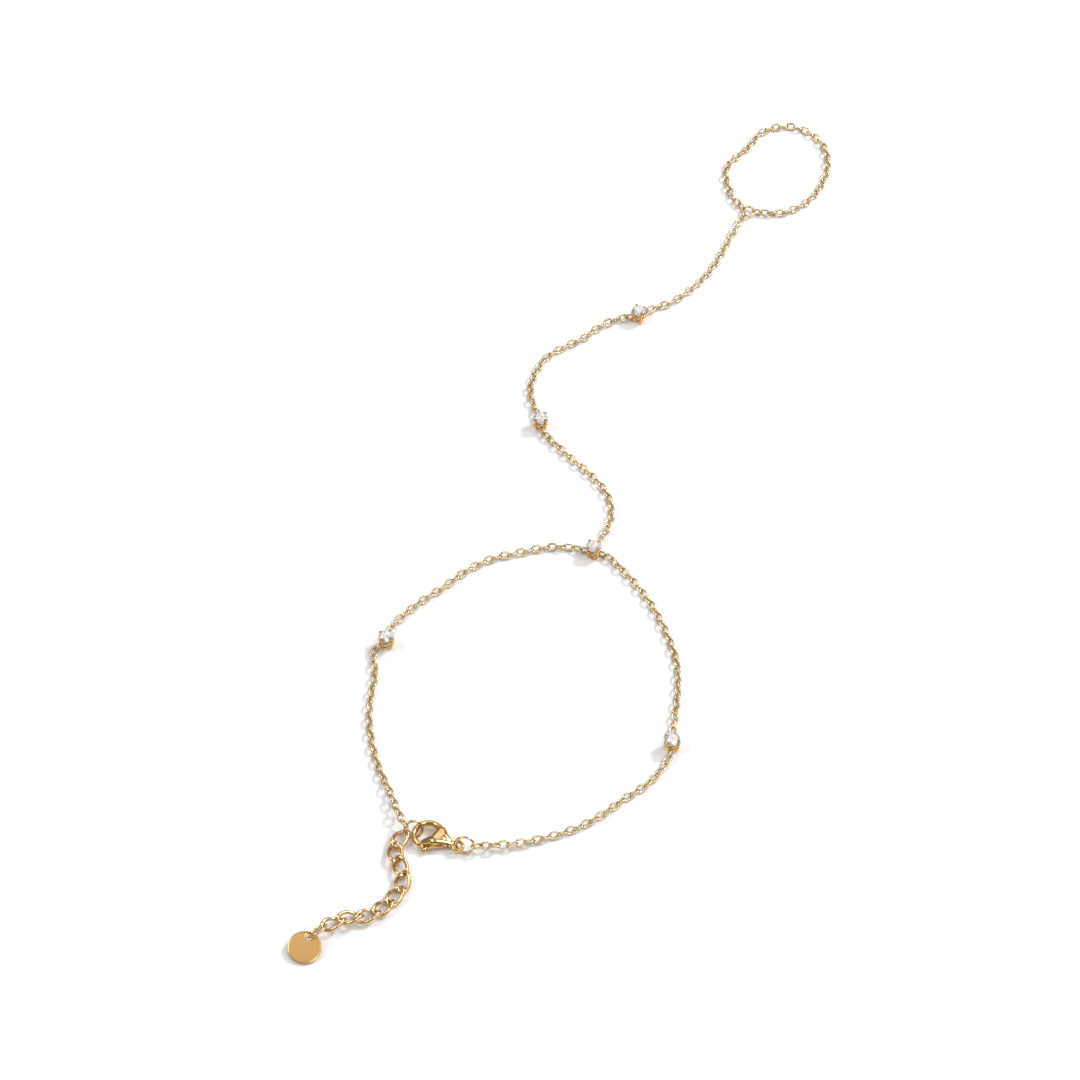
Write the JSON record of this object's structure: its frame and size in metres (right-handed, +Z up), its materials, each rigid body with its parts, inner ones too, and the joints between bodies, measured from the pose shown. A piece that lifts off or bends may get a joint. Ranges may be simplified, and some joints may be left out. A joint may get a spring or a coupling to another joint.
{
  "type": "hand chain bracelet",
  "caption": "Fine cable chain hand chain: a wrist loop and a finger loop joined over the back of the hand, with claw-set round stones, lobster clasp, extender chain and round tag.",
  "frame": {"origin": "middle of the ground that the laid bracelet covers, on the surface that it lies on", "axes": "+Z up from the surface, +Y from the clasp towards the finger loop, +X to the right as laid with the clasp side near"},
  "size_m": [0.094, 0.1836, 0.0033],
  "materials": {
    "chain_gold": "polished gold plate",
    "clasp_gold": "polished gold plate",
    "ring_gold": "polished pale gold plate",
    "setting_gold": "polished gold plate",
    "clear_stone": "faceted and clear"
  },
  "bodies": {
    "bracelet": {"clasp_body": "clasp_gold", "clasp_rivet": "ring_gold", "clasp_ring": "ring_gold", "end_ring": "ring_gold", "finger_ring": "ring_gold", "tag_ring": "ring_gold", "tag": "clasp_gold", "extender_chain": "chain_gold", "setting_centre": "setting_gold", "setting_left": "setting_gold", "setting_right": "setting_gold", "setting_middle": "setting_gold", "setting_upper": "setting_gold", "stone_centre": "clear_stone", "stone_left": "clear_stone", "stone_right": "clear_stone", "stone_middle": "clear_stone", "stone_upper": "clear_stone", "chain_clasp_to_right": "chain_gold", "chain_right_to_centre": "chain_gold", "chain_centre_to_left": "chain_gold", "chain_end_to_left": "chain_gold", "chain_centre_to_middle": "chain_gold", "chain_middle_to_upper": "chain_gold", "chain_upper_to_finger": "chain_gold", "finger_loop_chain": "chain_gold"},
    "lever": {"clasp_lever": "clasp_gold"}
  },
  "joints": [
    {"name": "clasp_lever_hinge", "type": "hinge", "parent": "bracelet", "child": "lever", "pos_m": [-0.02274, -0.06972, 0.0011], "axis": [0, 0, -1], "range_deg": [0, 18], "stiffness_Nm_per_rad": 0.006}
  ]
}
